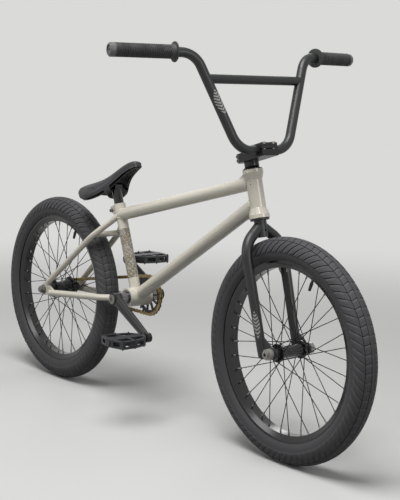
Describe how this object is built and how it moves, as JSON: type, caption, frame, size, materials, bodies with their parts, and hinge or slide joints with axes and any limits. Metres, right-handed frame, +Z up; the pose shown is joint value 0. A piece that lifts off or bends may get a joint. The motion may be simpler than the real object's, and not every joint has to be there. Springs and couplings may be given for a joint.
{
  "type": "bmx bicycle",
  "caption": "Small-wheeled freestyle bicycle with rigid frame and fork, high-rise handlebar, chain drive, platform pedals and tilting saddle; steering, wheels and cranks turn.",
  "frame": {"origin": "on the ground, midway between the two axles", "axes": "+X forward along the wheelbase, +Y to the left of the rider along the axles, +Z up"},
  "size_m": [1.4518, 0.7284, 0.933],
  "materials": {
    "frame_paint": "glossy warm cream enamel",
    "black_paint": "matt black powder coat",
    "stem_black": "satin black anodised",
    "post_paint": "glossy black",
    "bolt_steel": "plain steel",
    "bearing_steel": "bright turned steel",
    "chain_steel": "oiled bronze-brown",
    "drive_black": "satin black",
    "crank_paint": "satin dark grey",
    "pedal_plastic": "moulded dark grey",
    "grip_rubber": "ribbed rubber",
    "bar_end_plastic": "grey plastic",
    "saddle_cover": "smooth charcoal cover",
    "saddle_plastic": "black plastic",
    "tyre_rubber": "grey-black tread",
    "tube_rubber": "black rubber",
    "rim_paint": "gloss black anodised",
    "spoke_steel": "black steel",
    "hub_alloy": "black anodised"
  },
  "bodies": {
    "frame": {"head_tube": "frame_paint", "top_tube": "frame_paint", "down_tube": "frame_paint", "seat_tube": "frame_paint", "bottom_bracket_shell": "frame_paint", "chain_stays": "frame_paint", "seat_stays": "frame_paint", "stay_bridges": "frame_paint", "rear_dropouts": "frame_paint", "frame_gussets": "frame_paint", "seat_clamp": "frame_paint", "seat_clamp_bolt": "bolt_steel", "headset_bearings": "bearing_steel", "bottom_bracket_bearings": "bearing_steel", "rear_axle": "bolt_steel", "rear_axle_nuts": "bolt_steel", "chain": "chain_steel"},
    "seat_post": {"seat_post": "post_paint"},
    "saddle": {"saddle_pad": "saddle_cover", "saddle_base": "saddle_plastic", "saddle_bolt": "bolt_steel"},
    "steering": {"steerer_tube": "black_paint", "fork_leg_left": "black_paint", "fork_leg_right": "black_paint", "fork_dropouts": "black_paint", "front_axle": "bolt_steel", "front_axle_nuts": "bolt_steel", "headset_dust_cap": "stem_black", "headset_spacer": "stem_black", "stem_body": "stem_black", "stem_top_plate": "stem_black", "stem_bolts": "bolt_steel", "steerer_cap_bolt": "bolt_steel"},
    "handlebar": {"handlebar": "black_paint", "crossbar": "black_paint", "grip_left": "grip_rubber", "grip_right": "grip_rubber", "bar_ends": "bar_end_plastic"},
    "front_wheel": {"front_tyre": "tyre_rubber", "front_inner_tube": "tube_rubber", "front_rim": "rim_paint", "front_spokes": "spoke_steel", "front_hub_shell": "hub_alloy", "front_hub_bearings": "bearing_steel"},
    "rear_wheel": {"rear_tyre": "tyre_rubber", "rear_inner_tube": "tube_rubber", "rear_rim": "rim_paint", "rear_spokes": "spoke_steel", "rear_hub_shell": "hub_alloy", "rear_hub_bearings": "bearing_steel"},
    "driver": {"driver_cog": "drive_black"},
    "crank": {"crank_spindle": "crank_paint", "crank_arm_left": "crank_paint", "crank_arm_right": "crank_paint", "crank_spacers": "bearing_steel", "sprocket": "drive_black", "crank_bolts": "bolt_steel", "pedal_axles": "crank_paint"},
    "pedal_left": {"pedal_left": "pedal_plastic"},
    "pedal_right": {"pedal_right": "pedal_plastic"}
  },
  "joints": [
    {"name": "steering", "type": "hinge", "parent": "frame", "child": "steering", "pos_m": [0.43848, 0, 0.24842], "axis": [-0.2706, 0, 0.9627], "continuous": true},
    {"name": "bar_roll", "type": "hinge", "parent": "steering", "child": "handlebar", "pos_m": [0.36061, 0, 0.69917], "axis": [0, 1, 0], "range_deg": [-15, 15]},
    {"name": "front_wheel_spin", "type": "hinge", "parent": "steering", "child": "front_wheel", "pos_m": [0.469, 0, 0.257], "axis": [0, 1, 0], "continuous": true},
    {"name": "rear_wheel_spin", "type": "hinge", "parent": "frame", "child": "rear_wheel", "pos_m": [-0.469, 0, 0.257], "axis": [0, 1, 0], "continuous": true},
    {"name": "crank_spin", "type": "hinge", "parent": "frame", "child": "crank", "pos_m": [-0.10987, 0, 0.288], "axis": [0, 1, 0], "continuous": true, "deforming": ["chain"]},
    {"name": "driver_spin", "type": "hinge", "parent": "frame", "child": "driver", "pos_m": [-0.469, 0, 0.257], "axis": [0, 1, 0], "continuous": true},
    {"name": "pedal_left_spin", "type": "hinge", "parent": "crank", "child": "pedal_left", "pos_m": [-0.25792, 0.0745, 0.36085], "axis": [0, 1, 0], "continuous": true},
    {"name": "pedal_right_spin", "type": "hinge", "parent": "crank", "child": "pedal_right", "pos_m": [0.03818, -0.0745, 0.21515], "axis": [0, 1, 0], "continuous": true},
    {"name": "seat_height", "type": "slide", "parent": "frame", "child": "seat_post", "axis": [-0.3502, 0, 0.9367], "range_m": [-0.01, 0.06]},
    {"name": "seat_tilt", "type": "hinge", "parent": "seat_post", "child": "saddle", "pos_m": [-0.21458, 0, 0.56807], "axis": [0, 1, 0], "range_deg": [-12, 12]}
  ],
  "couplings": [
    {"joint": "driver_spin", "follows": "crank_spin", "ratio": 2.7778}
  ]
}
